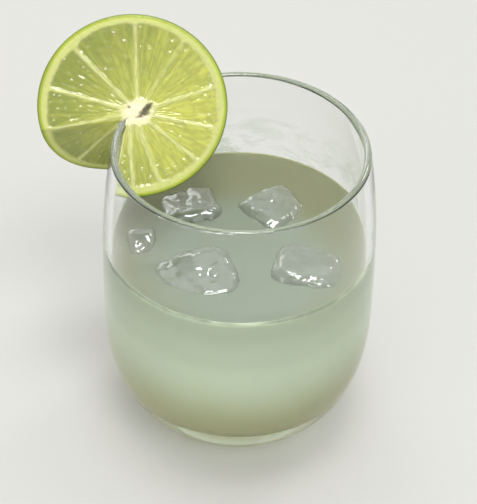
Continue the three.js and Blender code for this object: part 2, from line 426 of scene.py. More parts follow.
def ice_material(tint, drink):
    """Milky wet ice, with the drink's tone at the waterline and its own above."""
    material, tree, shader, output = blank_material("wet_ice")
    risen = node(tree, "ShaderNodeMapRange", in_1=drink.level, in_2=drink.level + ICE_FADE)
    tree.links.new(height_of(tree), risen.inputs["Value"])
    colour = mixed(tree, risen.outputs["Result"], surface_colour(tree, drink, ICE_TONE), tint)
    tree.links.new(colour, shader.inputs["Base Color"])
    fill(shader, IOR=1.31, Transmission_Weight=0.15)
    fill(shader, Coat_Weight=1.0, Coat_IOR=1.85, Coat_Roughness=0.04)
    soften(shader, 0.6, (1.0, 1.0, 0.9), 3 * MM)
    add_unevenness(tree, shader, scale=160.0, smooth=0.02, rough=0.12, depth=0.2 * MM)
    let_lamps_through(tree, shader, output, tint=(0.97, 0.99, 0.98))
    return material


def cloudy_colour(tree, stops, measure, low, high, drifting):
    """A colour that changes along a measure, from low to high, and drifts in soft clouds."""
    clouds = node(tree, "ShaderNodeTexNoise", Scale=38.0, Detail=4.0, Roughness=0.6)
    height = node(tree, "ShaderNodeMapRange", in_1=low, in_2=high)
    drift = node(tree, "ShaderNodeMath", in_1=drifting)
    drift.operation = "MULTIPLY_ADD"
    ramp = tree.nodes.new("ShaderNodeValToRGB")
    ramp.color_ramp.interpolation = "EASE"
    centred = node(tree, "ShaderNodeMath", in_1=0.5)
    centred.operation = "SUBTRACT"
    while len(ramp.color_ramp.elements) < len(stops):
        ramp.color_ramp.elements.new(0.5)
    for element, (position, colour) in zip(ramp.color_ramp.elements, stops):
        element.position = position
        element.color = rgba(colour)
    link = tree.links.new
    link_place(tree, clouds)
    link(measure, height.inputs["Value"])
    link(clouds.outputs["Fac"], centred.inputs[0])
    link(centred.outputs["Value"], drift.inputs[0])
    link(height.outputs["Result"], drift.inputs[2])
    link(drift.outputs["Value"], ramp.inputs["Fac"])
    return ramp.outputs["Color"]


def height_of(tree):
    """Height of each point of a piece."""
    split = tree.nodes.new("ShaderNodeSeparateXYZ")
    link_place(tree, split)
    return split.outputs["Z"]


def distance_from(tree, point):
    """Distance of each point of a piece from one point."""
    apart = node(tree, "ShaderNodeVectorMath", in_1=point)
    apart.operation = "DISTANCE"
    link_place(tree, apart)
    return apart.outputs["Value"]


def milky(shader, scale):
    """The inside of a cloudy liquid."""
    soften(shader, 0.7, (1.0, 1.0, 0.75), scale)
    fill(shader, IOR=1.33)


def behind_wall(tree, shader, scale):
    """The cloudy liquid where it lies against glass or ice, and mirrors little."""
    milky(shader, scale)
    fill(shader, Specular_IOR_Level=0.1)
    add_unevenness(tree, shader, scale=60.0, smooth=0.25, rough=0.45, depth=0.02 * MM)


# The heights up to which the drink's pale foot is plain and up to which it glows; both the pale foot and
# its glow are painted light
FOOT_HEIGHT = 12.8 * MM
PAINTED_GLOW_END = 1.15 * FOOT_HEIGHT
PAINTED_GLOW_STRENGTH = 0.42
# The body's colours upward: the height, the colour and its tone; the pale foot is painted light, and the
# upper colour's brighter middle and darker top are painted light and shade
BODY_COLOURS = (
    (FOOT_HEIGHT, "foot", 1.0),
    (1.25 * FOOT_HEIGHT, "lower", 1.0),
    (18 * MM, "lower", 1.0),
    (46 * MM, "upper", 1.06),
    (0.8 * DRINK_LEVEL, "upper", 0.96),
    (0.985 * DRINK_LEVEL, "upper", 0.77),
    (DRINK_LEVEL, "middle", 1.0),
)
# The surface's two colours spread from a point before the middle, and the reach is their measure; the
# darker edge colour, strongest near the wall and at the back, is painted shade
SURFACE_MIDDLE = -0.32 * BELLY_RADIUS
SURFACE_REACH = 1.2 * BELLY_RADIUS
MIDDLE_END = 0.42
EDGE_START = 0.74
# How far clouds shift the colours of the body, the surface and the drink under the ice
BODY_DRIFT = 0.1
SURFACE_DRIFT = 0.35
POCKET_DRIFT = 0.5


def drink_body_material(drink):
    """The cloudy drink as it shows through the glass wall, with a painted glow at its foot and painted
    shade under its surface.
    """
    material, tree, shader, _ = blank_material("cloudy_drink")
    top = drink.level
    stops = [(z / top, shade(getattr(drink, name), tone)) for z, name, tone in BODY_COLOURS]
    colour = cloudy_colour(tree, stops, height_of(tree), 0, top, BODY_DRIFT)
    tree.links.new(colour, shader.inputs["Base Color"])
    # A painted glow: the foot gives off light that stands in for light gathered in the base
    glow_stops = ((FOOT_HEIGHT / top, drink.foot), (PAINTED_GLOW_END / top, (0, 0, 0)))
    glow = cloudy_colour(tree, glow_stops, height_of(tree), 0, top, 0.0)
    tree.links.new(glow, shader.inputs["Emission Color"])
    fill(shader, Emission_Strength=PAINTED_GLOW_STRENGTH)
    behind_wall(tree, shader, 6 * MM)
    return material


def surface_colour(tree, drink, tone=1.0):
    """The colour of the open surface at each point, bluish between the ice and a darker olive near the wall
    and at the back, which is painted shade.
    """
    stops = ((MIDDLE_END, shade(drink.middle, tone)), (EDGE_START, shade(drink.edge, tone)))
    away = distance_from(tree, (0, SURFACE_MIDDLE, drink.level))
    return cloudy_colour(tree, stops, away, 0, SURFACE_REACH, SURFACE_DRIFT)


def drink_surface_material(drink):
    """The open surface of the drink."""
    material, tree, shader, _ = blank_material("drink_surface")
    tree.links.new(surface_colour(tree, drink), shader.inputs["Base Color"])
    milky(shader, 4 * MM)
    add_unevenness(tree, shader, scale=90.0, smooth=0.015, rough=0.05, depth=0.06 * MM)
    return material


def pocket_material(drink):
    """The drink that shows under the ice, pale because light gathers there."""
    material, tree, shader, _ = blank_material("drink_under_ice")
    stops = ((0.3, drink.upper), (0.7, shade(drink.middle, 2.2)))
    low = 0.6 * drink.level
    colour = cloudy_colour(tree, stops, height_of(tree), low, drink.level, POCKET_DRIFT)
    tree.links.new(colour, shader.inputs["Base Color"])
    behind_wall(tree, shader, 3 * MM)
    return material


# How the ice is rounded and melted: the dents' number per metre, and how they fade, narrow and repeat
ICE_LEVELS = 3
DENT_SCALE = 125
DENT_FADE, DENT_STEP, DENT_LAYERS = 0.9, 2.0, 3


def ice_shape(name, grow):
    """One ice cube as the frame holds it, made smooth, melted in dents, and grown by a distance."""
    shape = bmesh.new()
    shape.from_mesh(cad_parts[name].data)
    bmesh.ops.remove_doubles(shape, verts=shape.verts, dist=0.02 * MM)
    bmesh.ops.join_triangles(
        shape, faces=shape.faces, angle_face_threshold=0.7, angle_shape_threshold=3.0
    )
    mesh = bpy.data.meshes.new(name + "_melted")
    shape.to_mesh(mesh)
    shape.free()
    piece = bpy.data.objects.new(name + "_melted", mesh)
    bpy.context.scene.collection.objects.link(piece)
    smoother = piece.modifiers.new("smooth", "SUBSURF")
    smoother.levels = smoother.render_levels = ICE_LEVELS
    with_modifiers(piece)
    mesh = piece.data
    melt = bpy.context.scene.gimlet_ice.melt
    normals = [v.normal.copy() for v in mesh.vertices]
    for vert, normal in zip(mesh.vertices, normals):
        dents = noise.fractal(vert.co * DENT_SCALE, DENT_FADE, DENT_STEP, DENT_LAYERS)
        vert.co += normal * (grow + melt * dents)
    mesh.polygons.foreach_set("use_smooth", [True] * len(mesh.polygons))
    return piece


# How near the wall the drink climbs, and how far it goes into the wall and the ice
CLIMB_REACH = 1.3 * MM
INTO_WALL = 0.12 * MM
INTO_ICE = 0.1 * MM
# Steps of the drink's outline, and how its surface's rings crowd at the wall
DRINK_BOWL_STEPS = 26
DRINK_SHOULDER_STEPS = 12
SURFACE_STEPS = 60
SURFACE_CROWDING = 1.6


def make_drink(drink, segments):
    """The drink, which climbs the wall and is hollowed where the ice floats."""
    bowl = bowl_heights(BASE_THICKNESS, BELLY_HEIGHT - BASE_THICKNESS, DRINK_BOWL_STEPS)
    shoulder = np.linspace(BELLY_HEIGHT, drink.level + drink.climb, DRINK_SHOULDER_STEPS)
    heights = np.concatenate([bowl, shoulder])
    radii = glass_inner(heights)
    along = np.gradient(np.stack([radii, heights], 1), axis=0)
    along /= np.linalg.norm(along, axis=1)[:, None]
    wall = np.stack([radii + along[:, 1] * INTO_WALL, heights - along[:, 0] * INTO_WALL], 1)
    wall[0, 0] = 0
    edge = glass_inner(drink.level)
    across = edge * (1 - np.linspace(0, 1, SURFACE_STEPS) ** SURFACE_CROWDING)[1:-1]
    climb = drink.climb * np.exp((across - edge) / CLIMB_REACH)
    outline = [*wall, *zip(across, drink.level + climb), (0, drink.level)]
    piece = turned("drink_cloudy", outline, segments)
    pocket = pocket_material(drink)
    for material in (drink_body_material(drink), drink_surface_material(drink), pocket):
        piece.data.materials.append(material)
    edge_faces = len(wall) * segments
    for number, face in enumerate(piece.data.polygons):
        face.material_index = int(number >= edge_faces - segments)
    cutters = []
    for name in ICE_NODES:
        cutter = ice_shape(name, -INTO_ICE)
        cutter.data.materials.append(pocket)
        cutters.append(cutter)
    return cut(piece, cutters)


# The film that the drink leaves on the inner wall, as directions in degrees from the right
FILM_FROM, FILM_TO = 15, 165
FILM_HEIGHT = 20 * MM
FILM_THICKNESS = 0.08 * MM
FILM_INTO_WALL = 0.03 * MM
FILM_OVER_DRINK = 0.3 * MM
FILM_TURNS = 90
FILM_LIFTS = 24


def make_film(drink):
    """A thin sheet of drink on the back of the inner wall."""
    heights = drink.level + FILM_OVER_DRINK + FILM_HEIGHT * np.linspace(0, 1, FILM_LIFTS + 1)
    outer = glass_inner(heights) + FILM_INTO_WALL
    section = list(zip(outer, heights)) + list(zip(outer - FILM_THICKNESS, heights))[::-1]
    size = len(section)
    points, faces = [], []
    for angle in np.radians(np.linspace(FILM_FROM, FILM_TO, FILM_TURNS + 1)):
        points.extend((r * math.cos(angle), r * math.sin(angle), z) for r, z in section)
    for i in range(FILM_TURNS):
        for k in range(size):
            low, high = i * size + k, i * size + (k + 1) % size
            faces.append([low, low + size, high + size, high])
    for k in range(FILM_LIFTS):
        end = [k, k + 1, size - 2 - k, size - 1 - k]
        faces.append(end)
        faces.append([FILM_TURNS * size + c for c in end[::-1]])
    return mesh_object("drink_film", points, faces)


def film_material(drink):
    """Pale smears that thin out upward, clear between."""
    material, tree, shader, _ = blank_material("drink_film")
    stretch = node(tree, "ShaderNodeVectorMath", in_1=(1.0, 1.0, 2.2))
    stretch.operation = "MULTIPLY"
    smears = node(tree, "ShaderNodeTexNoise", Scale=75.0, Detail=5.0, Roughness=0.65, Distortion=0.6)
    shown = node(tree, "ShaderNodeMapRange", in_1=0.46, in_2=0.72, in_3=0.0, in_4=0.5)
    top = drink.level + FILM_HEIGHT
    fade = node(tree, "ShaderNodeMapRange", in_1=drink.level, in_2=top, in_3=1.0, in_4=0.0)
    alpha = node(tree, "ShaderNodeMath")
    alpha.operation = "MULTIPLY"
    link = tree.links.new
    link_place(tree, stretch)
    link(stretch.outputs["Vector"], smears.inputs["Vector"])
    link(smears.outputs["Fac"], shown.inputs["Value"])
    link(height_of(tree), fade.inputs["Value"])
    link(shown.outputs["Result"], alpha.inputs[0])
    link(fade.outputs["Result"], alpha.inputs[1])
    link(alpha.outputs["Value"], shader.inputs["Alpha"])
    fill(shader, Base_Color=rgba(shade(drink.upper, 1.15)), Roughness=0.3)
    return material


def wheel_axes():
    """The wheel's own directions: across its face, up its face and out of its face."""
    out = Vector((0, -math.cos(WHEEL_LEAN), math.sin(WHEEL_LEAN)))
    out.rotate(Matrix.Rotation(WHEEL_TURN, 3, "Z"))
    across = Vector((math.cos(WHEEL_TURN), math.sin(WHEEL_TURN), 0))
    return np.array(across), np.array(out.cross(across)), np.array(out)


def peel_distance(angle):
    """Distance from the core to the peel, as the core lies off the middle of an oval."""
    way = np.stack([np.cos(angle) / WHEEL_WIDE, np.sin(angle) / WHEEL_TALL], -1)
    middle = WHEEL_MIDDLE / (WHEEL_WIDE, WHEEL_TALL)
    along = way @ middle
    square = (way**2).sum(-1)
    return (along + np.sqrt(along**2 + square * (1 - middle @ middle))) / square


def face_points(distance, angle):
    """Points of the flat face, pushed aside near the slit by the glass wall."""
    peel = peel_distance(angle)
    from_slit = np.abs((np.degrees(angle) - SLIT_ANGLE + 540) % 360 - 180)
    nearness = np.where(from_slit < SLIT_REACH, np.cos(np.radians(from_slit / SLIT_REACH * 90)) ** 2, 0)
    along = np.minimum(distance / SLIT_START, (peel - distance) / (peel - SLIT_START))
    push = SLIT_PUSH * nearness * along
    return np.stack([distance * np.cos(angle) - push, distance * np.sin(angle)], -1)


def wheel_points(distance, angle, height, outside):
    """Places points of the wheel, at heights above its middle plane; the outside lobe droops."""
    across, up, out = wheel_axes()
    flat = face_points(distance, angle)
    start = face_points(np.array(SLIT_START), np.array(math.radians(SLIT_ANGLE)))
    arm = flat - start
    bearing = np.degrees(np.arctan2(arm[..., 1], arm[..., 0])) + 360
    droops = outside & (bearing < 360) & (bearing > DROOP_FROM)
    share = np.where(droops, np.minimum(1, (bearing - DROOP_FROM) / (DROOP_TO - DROOP_FROM)), 0)
    bend = DROOP * np.sin(share * math.pi / 2)
    reach = np.linalg.norm(arm, axis=-1)
    unit = arm / np.maximum(reach, TINY)[..., None]
    way = unit[..., :1] * across + unit[..., 1:] * up
    centre = np.array(WHEEL_CORE) + start[0] * across + start[1] * up
    turn, lift = np.cos(bend)[..., None], np.sin(bend)[..., None]
    normal = turn * out + lift * way
    return centre + reach[..., None] * (turn * way - lift * out) + height[..., None] * normal


# How each part of the wheel is divided, as steps along a line from the core to the peel
CORE_RINGS = 10
FLESH_RINGS = 44
PITH_RINGS = 3
SEGMENT_LINES = 32
SLIT_RING = 4
CORE_RADIUS = 4.5 * MM
MEMBRANE_WIDTH = 0.5 * MM
PEEL_WIDTH = 1.5 * MM
# The peel's rings: shares of its cut face, how far the others bulge, and the heights of all as shares
PEEL_SHARES = (0.8, 0.5, 0.25, 0.08)
EDGE_REACH = (0.10 * MM, 0.20 * MM, 0.24 * MM)
EDGE_HEIGHTS = (1.0, 1.0, 0.99, 0.96, 0.86, 0.6, 0.0)
CORE, FLESH, PITH, PEEL = range(4)
# Waves that make the core and the rind uneven: how high, how many and where they start
CORE_WAVES = ((0.16, 2, 1), (0.09, 5, 0))
RIND_WAVE = 0.10
RIND_NOISE = 0.12
# How far the core and the pith reach out along the membranes
CORE_POINTS = 0.35
PITH_POINTS = 1.1 * MM
# The looks run outward from 0 at the core to this share on the face, and then to 1 over the peel
FACE_SHARE = 0.3


def wheel_lines():
    """Lines from core to peel: the segment's number, the share across it, the angle and its span."""
    borders = [SLIT_ANGLE, *MEMBRANES, SLIT_ANGLE + 360]
    lines = []
    for number, (start, end) in enumerate(zip(borders, borders[1:])):
        span = math.radians(end - start)
        for step in range(SEGMENT_LINES):
            share = 0.5 - 0.5 * math.cos(math.pi * step / SEGMENT_LINES)
            lines.append((number, share, math.radians(start + (end - start) * share), span))
    lines.append((number, 1.0, math.radians(end), span))
    return lines


def line_points(share, angle, rind):
    """Distances along one line from the core, each with the part of the wheel it lies in."""
    peel = float(peel_distance(np.array(angle)))
    border = abs(2 * share - 1)
    unround = 1 + sum(size * math.sin(times * angle + start) for size, times, start in CORE_WAVES)
    core = CORE_RADIUS * unround * (1 + CORE_POINTS * border**6)
    way = Vector((math.cos(angle), math.sin(angle), 0))
    uneven = RIND_WAVE * math.sin(3 * angle) + RIND_NOISE * noise.noise(way * 6)
    out = peel - rind * (1 + uneven) - PITH_POINTS * border**10
    row = [(core * j / CORE_RINGS, CORE) for j in range(CORE_RINGS)]
    row += [(core + (out - core) * j / FLESH_RINGS, FLESH) for j in range(FLESH_RINGS + 1)]
    face_end = peel - PEEL_WIDTH
    row += [(out + (face_end - out) * (j + 1) / PITH_RINGS, PITH) for j in range(PITH_RINGS)]
    row += [(peel - PEEL_WIDTH * share, PEEL) for share in PEEL_SHARES]
    row += [(peel + reach, PEEL) for reach in EDGE_REACH]
    return row


# The two holes of the core: a leaf between two points, and a small round one
LEAF_START = np.array((0.5, -1.5)) * MM
LEAF_WAY = np.array((4.0, 4.5)) * MM
LEAF_WIDTH = 0.25 * MM
LEAF_SWELL = 1.05 * MM
SMALL_HOLE = np.array((-2.5, 1.6)) * MM
SMALL_RADIUS = 0.55 * MM
HOLE_DEPTH = 1.7 * MM
HOLE_RAGGEDNESS = 1100
CORE_GRAIN = 0.18 * MM
GRAIN_FINENESS = 600


def clamped(value):
    """A value kept from 0 to 1."""
    return max(0.0, min(1.0, value))


def core_hole(x, y):
    """How far a point lies inside the holes of the core, from 0 to 1."""
    from_start = np.array((x, y)) - LEAF_START
    share = clamped(float(from_start @ LEAF_WAY / (LEAF_WAY @ LEAF_WAY)))
    away = math.hypot(*(from_start - share * LEAF_WAY))
    ragged = 1 + 0.5 * noise.noise(Vector((x, y, 0)) * HOLE_RAGGEDNESS)
    leaf = (LEAF_WIDTH + LEAF_SWELL * math.sin(math.pi * min(1.0, share + 0.05))) * ragged
    small = SMALL_RADIUS - math.hypot(x - SMALL_HOLE[0], y - SMALL_HOLE[1])
    return max(clamped(1.3 * (leaf - away) / MM), clamped(1.5 * small / MM))


# The juice sacs: how many to a radian, their length, how they bend, and the width of their grooves
SACS_AROUND = 14
SAC_LENGTH = 5 * MM
BENDS_AROUND = 8
SAC_BEND = 0.5
SAC_GROOVE = 0.3
# Shifts that keep the two faces apart, and scales that turn a sac's or a bead's place into chance
SIDE_SHIFT = 7.3
SAC_CHANCE = 5.3
BEAD_CHANCE = 7.7


def chance(place, scale):
    """A number from 0 to 1 that belongs to a place."""
    return 0.5 + 0.5 * noise.noise(place * scale)


def sac_pattern(angle, distance, side):
    """The juice sacs: how deep a point lies between sacs, and its sac's own tone."""
    along = distance / SAC_LENGTH
    place = Vector((angle * SACS_AROUND, along, side * SIDE_SHIFT))
    place.x += SAC_BEND * noise.noise(Vector((angle * BENDS_AROUND, along, 3)))
    distances, points = noise.voronoi(place)
    between = max(0.0, 1 - (distances[1] - distances[0]) / SAC_GROOVE)
    return between, chance(points[0], SAC_CHANCE)


# The beads of juice: their spacing, their size in it, how rare they are, and less so at the peel
BEAD_SPACING = 1.8 * MM
BEAD_SIZE = 0.42
BEAD_RARITY = 0.75
BEAD_OUTWARD = 0.35


def juice_beads(x, y, share_out):
    """Small beads of juice that stand on the flesh, mostly near the peel."""
    distances, points = noise.voronoi(Vector((x, y, 0)) / BEAD_SPACING)
    shown = chance(points[0], BEAD_CHANCE) - BEAD_RARITY + BEAD_OUTWARD * share_out > 0
    return max(0.0, 1 - distances[0] / BEAD_SIZE) if shown else 0.0


# Depths of the flesh below its membranes, of the grooves between sacs, and heights of sacs and beads
FLESH_DEPTH = 0.24 * MM
GROOVE_DEPTH = 0.12 * MM
SAC_HEIGHT = 0.1 * MM
BEAD_HEIGHT = 0.3 * MM
# The flesh's tone, from 0 to 1: its middle, and what sacs, streaks, right side, rim and top change; the
# lighter right side and darker top are painted light and shade, and the darker rim is partly painted shade
FLESH_TONE = 0.55
SAC_TONE = 0.3
STREAK_TONE = 0.3
STREAKS_AROUND = 26
STREAK_LENGTH = 10 * MM
PAINTED_RIGHT_LIGHT = 0.2
OUTER_TONE = 0.7
OUTER_FROM = 0.4
PAINTED_TOP_SHADE = 0.2


def flesh_tone_and_painted_light(tone, streak, share_out, angle):
    """How bright the flesh is, from 0 to 1: brighter at the right and darker at the top, painted light and
    shade, and darker near the peel, partly painted shade.
    """
    rightward = math.cos(angle)
    light = FLESH_TONE + SAC_TONE * (tone - 0.5) + STREAK_TONE * streak + PAINTED_RIGHT_LIGHT * rightward
    light -= OUTER_TONE * (share_out - OUTER_FROM) * (0.6 - 0.4 * rightward)
    return clamped(light - PAINTED_TOP_SHADE * max(0.0, math.sin(angle)))


def wheel_relief(part, line, distance, row, side):
    """How deep a point is sunk in the face, with its paleness, its tone with painted light and shade, and
    its painted shade or painted glint.
    """
    number, share, angle, span = line
    x, y = distance * math.cos(angle), distance * math.sin(angle)
    if part == CORE:
        hole = core_hole(x, y)
        grain = noise.noise(Vector((x, y, side)) * GRAIN_FINENESS)
        # The hole is sunk and also darkened with painted shade
        return HOLE_DEPTH * hole + CORE_GRAIN * grain, 1.0, 0.0, hole
    if part != FLESH:
        return 0.0, 1.0, 0.0, 0.0
    first, final = row[CORE_RINGS][0], row[CORE_RINGS + FLESH_RINGS][0]
    share_out = (distance - first) / (final - first)
    thickness = MEMBRANE_WIDTH * (0.8 + 0.8 * (2 * share_out - 1) ** 2)
    to_membrane = min(share, 1 - share) * span * distance - thickness / 2
    inside = min(to_membrane, distance - first, final - distance)
    plainness = PLAINNESS[number + round(share)] if inside == to_membrane else 1.0
    inside /= MM
    between, tone = sac_pattern(angle, distance, side)
    streak = noise.noise(Vector((angle * STREAKS_AROUND, distance / STREAK_LENGTH, side)))
    bead = juice_beads(x, y, share_out) if inside > 0.5 else 0.0
    sunk = 1 - plainness * (1 - clamped(inside / 0.5))
    depth = sunk * (FLESH_DEPTH + GROOVE_DEPTH * between - SAC_HEIGHT * tone) - BEAD_HEIGHT * bead
    pale = plainness * (1 - clamped(inside / 0.75 + 0.2 + 0.25 * streak))
    # Painted shade in the grooves between sacs, and a painted glint at the middle of each bead of juice
    painted_shade_or_glint = 0.35 * between + max(0.0, 2 * bead - 1)
    return depth, pale, flesh_tone_and_painted_light(tone, streak, share_out, angle), painted_shade_or_glint


def make_lime_mesh(lime):
    """The cut wheel's points, with the looks stored at each of them."""
    lines = wheel_lines()
    half = WHEEL_THICKNESS / 2
    table, looks = [], []
    for side in (1, -1):
        for line in lines:
            row = line_points(line[1], line[2], lime.rind)
            rows = len(row)
            edge = rows - len(EDGE_HEIGHTS)
            outside = line[2] > math.radians(SLIT_ANGLE + 180)
            for k, (distance, part) in enumerate(row):
                if side < 0 and k == rows - 1:
                    continue
                depth, pale, tone, painted_shade_or_glint = wheel_relief(part, line, distance, row, side)
                height = half * (EDGE_HEIGHTS[k - edge] if k >= edge else 1) - depth
                outward = min(FACE_SHARE, distance / WHEEL_TALL)
                if part == PEEL:
                    outward = FACE_SHARE + (1 - FACE_SHARE) * (k - edge) / (len(EDGE_HEIGHTS) - 1)
                table.append((distance, line[2], side * height, outside))
                looks.append((pale, tone, outward, painted_shade_or_glint))
    table = np.array(table, float)
    points = wheel_points(table[:, 0], table[:, 1], table[:, 2], table[:, 3] > 0.5)
    return points, np.array(looks), rows, len(lines) - 1


def lime_faces(rows, last):
    """Corners of the wheel's faces, and the material of each: flesh, pith or peel."""
    full = 2 * (rows - 1)
    pith_end = CORE_RINGS + FLESH_RINGS + PITH_RINGS

    def corner(k, i):
        if k in (0, full) or (i == last and min(k, full - k) <= SLIT_RING):
            i = 0
        return i * rows + k if k < rows else (last + 1) * rows + i * (rows - 1) + (full - k)

    def kind(ring):
        if CORE_RINGS <= ring < CORE_RINGS + FLESH_RINGS:
            return 0
        return 1 if ring < pith_end else 2

    faces, kinds = [], []
    for i in range(last):
        for k in range(full):
            faces.append([corner(k, i), corner(k + 1, i), corner(k + 1, i + 1), corner(k, i + 1)])
            kinds.append(kind(min(k, full - 1 - k)))
    for k in range(SLIT_RING, rows - 1):
        for i, turn in ((0, 1), (last, -1)):
            corners = [corner(k, i), corner(full - k, i), corner(full - k - 1, i), corner(k + 1, i)]
            faces.append(corners[::turn])
            kinds.append(kind(k))
    return [list(dict.fromkeys(face)) for face in faces], kinds


def lime_looks(tree):
    """The looks stored at the wheel's corners: paleness, tone with painted light and shade, place outward,
    and painted shade or glint.
    """
    looks = tree.nodes.new("ShaderNodeAttribute")
    looks.attribute_name = "lime_look"
    split = tree.nodes.new("ShaderNodeSeparateColor")
    tree.links.new(looks.outputs["Color"], split.inputs["Color"])
    return split.outputs["Red"], split.outputs["Green"], split.outputs["Blue"], looks.outputs["Alpha"]


def mixed(tree, share, first, second):
    """A mix of two colours, each a colour or another node's output."""
    mix = tree.nodes.new("ShaderNodeMix")
    mix.data_type = "RGBA"
    tree.links.new(share, mix.inputs[0])
    for socket, colour in ((mix.inputs[6], first), (mix.inputs[7], second)):
        if isinstance(colour, bpy.types.NodeSocket):
            tree.links.new(colour, socket)
        else:
            socket.default_value = rgba(colour)
    return mix.outputs[2]


# The flesh's colour where it is deep and bright, and the painted shade above which it takes a painted glint
# instead
DEEP_FLESH = (0.50, 0.59, 0.5)
BRIGHT_FLESH = 1.28
GLINTS_FROM = 0.4
PAINTED_GLINT_COLOUR = (0.97, 1.0, 0.93)


def flesh_material(lime):
    """Juicy flesh with pale membranes, grooves in painted shade, painted light and shade across the wheel,
    and painted glints of juice.
    """
    material, tree, shader, _ = blank_material("lime_flesh")
    pale, tone, _, painted_shade_or_glint = lime_looks(tree)
    # The tone holds painted light at the right and painted shade at the top and near the peel
    flesh = mixed(tree, tone, shade(lime.flesh, DEEP_FLESH), shade(lime.flesh, BRIGHT_FLESH))
    colour = mixed(tree, pale, flesh, lime.pith)
    glints = node(tree, "ShaderNodeMapRange", in_1=GLINTS_FROM)
    tree.links.new(painted_shade_or_glint, glints.inputs["Value"])
    # Painted shade in the grooves and round the glints, then painted glints on the beads
    colour = mixed(tree, painted_shade_or_glint, colour, shade(lime.flesh, 0.5))
    colour = mixed(tree, glints.outputs["Result"], colour, PAINTED_GLINT_COLOUR)
    tree.links.new(colour, shader.inputs["Base Color"])
    soften(shader, 0.6, (1.0, 1.0, 0.3), 2 * MM)
    fill(shader, Coat_Weight=0.7, Coat_Roughness=0.06)
    add_unevenness(tree, shader, scale=420.0, smooth=0.06, rough=0.3, depth=0.12 * MM)
    return material


# Colours of the core and of the painted shade in its holes, and the pith's tone in its ring under the peel
CORE_COLOUR = (0.82, 0.76, 0.50)
HOLE_SHADE_COLOUR = (0.15, 0.15, 0.09)
RING_TONE = (0.84, 0.87, 0.72)


def pith_material(lime):
    """Spongy pith, whitish in the core and green under the peel, with painted shade in the holes of the
    core.
    """
    material, tree, shader, _ = blank_material("lime_pith")
    _, _, outward, painted_shade_or_glint = lime_looks(tree)
    reach = node(tree, "ShaderNodeMapRange", in_1=0.10, in_2=0.24)
    tree.links.new(outward, reach.inputs["Value"])
    colour = mixed(tree, reach.outputs["Result"], CORE_COLOUR, shade(lime.pith, RING_TONE))
    # Painted shade in the holes of the core
    colour = mixed(tree, painted_shade_or_glint, colour, HOLE_SHADE_COLOUR)
    tree.links.new(colour, shader.inputs["Base Color"])
    soften(shader, 0.4, (1.0, 1.0, 0.5), 1.2 * MM)
    add_unevenness(tree, shader, scale=700.0, smooth=0.25, rough=0.45, depth=0.15 * MM)
    return material


# Where the peel turns green, darker and darkest on its way round the edge, and its tone there; the darker
# tones are partly the skin's own deep green and partly painted shade where the edge turns from the light
PEEL_TONES = ((0.42, 1.0), (0.6, (0.64, 0.72, 0.7)), (0.85, (0.30, 0.36, 0.5)))


def peel_material(lime):
    """Yellow-green on its cut face and deep green outside, partly painted shade, with fine pores."""
    material, tree, shader, _ = blank_material("lime_peel")
    _, _, outward, _ = lime_looks(tree)
    pores = node(tree, "ShaderNodeTexVoronoi", Scale=900.0)
    blotches = node(tree, "ShaderNodeTexNoise", Scale=90.0, Detail=3.0)
    ramp = tree.nodes.new("ShaderNodeValToRGB")
    elements = ramp.color_ramp.elements
    elements.remove(elements[1])
    elements[0].position = FACE_SHARE
    elements[0].color = rgba(np.add(shade(lime.peel, 0.4), shade(lime.pith, 0.6)))
    for position, tone in PEEL_TONES:
        elements.new(position).color = rgba(shade(lime.peel, tone))
    spots = mixed(tree, blotches.outputs["Fac"], [0.75] * 3, [1.25] * 3)
    spotted = node(tree, "ShaderNodeMix", in_0=1.0)
    spotted.data_type, spotted.blend_type = "RGBA", "MULTIPLY"
    bump = node(tree, "ShaderNodeBump", Strength=0.5, Distance=0.15 * MM)
    link = tree.links.new
    link_place(tree, pores, blotches)
    link(outward, ramp.inputs["Fac"])
    link(ramp.outputs["Color"], spotted.inputs[6])
    link(spots, spotted.inputs[7])
    link(spotted.outputs[2], shader.inputs["Base Color"])
    link(pores.outputs["Distance"], bump.inputs["Height"])
    link(bump.outputs["Normal"], shader.inputs["Normal"])
    fill(shader, Roughness=0.32)
    soften(shader, 0.2, (1.0, 0.2, 0.1), 1.0 * MM)
    return material


class GIMLET_OT_glass(Operator):
    """Makes the rounded stemless tumbler"""

    bl_idname = "gimlet.glass"
    bl_label = "Glass"

    def execute(self, context):
        glass = context.scene.gimlet_glass
        outer_bowl = bowl_heights(0, BELLY_HEIGHT + FOOT_CUT, BOWL_STEPS)
        inner_bowl = bowl_heights(BASE_THICKNESS, BELLY_HEIGHT - BASE_THICKNESS, BOWL_STEPS)
        outer = np.concatenate([outer_bowl, shoulder_heights()])
        inner = np.concatenate([inner_bowl, shoulder_heights()])
        foot = float(glass_outer(0.0))
        outline = [(0, 0), (foot / 2, 0)] + [(foot + back, z) for back, z in FOOT_EDGE]
        outline += [(float(glass_outer(z)), z) for z in outer[1:]]
        outline += rim_bead()
        outline += [(float(glass_inner(z)) if i else 0.0, z) for i, z in enumerate(inner)][::-1]
        piece = turned("glass_tumbler", outline, glass.segments)
        piece.data.materials.append(glass_material(glass.tint))
        settle(piece, "glass", "glass")
        return {"FINISHED"}


class GIMLET_OT_drink(Operator):
    """Makes the cloudy drink, hollowed where the ice floats"""

    bl_idname = "gimlet.drink"
    bl_label = "Drink"

    def execute(self, context):
        drink = context.scene.gimlet_drink
        settle(make_drink(drink, context.scene.gimlet_glass.segments), "drink", "drink")
        film = make_film(drink)
        film.data.materials.append(film_material(drink))
        settle(film, "drink")
        return {"FINISHED"}


class GIMLET_OT_ice(Operator):
    """Makes the melting ice cubes"""

    bl_idname = "gimlet.ice"
    bl_label = "Ice"

    def execute(self, context):
        material = ice_material(context.scene.gimlet_ice.tint, context.scene.gimlet_drink)
        for name in ICE_NODES:
            piece = ice_shape(name, 0.0)
            piece.data.materials.append(material)
            settle(piece, "ice", name)
        return {"FINISHED"}


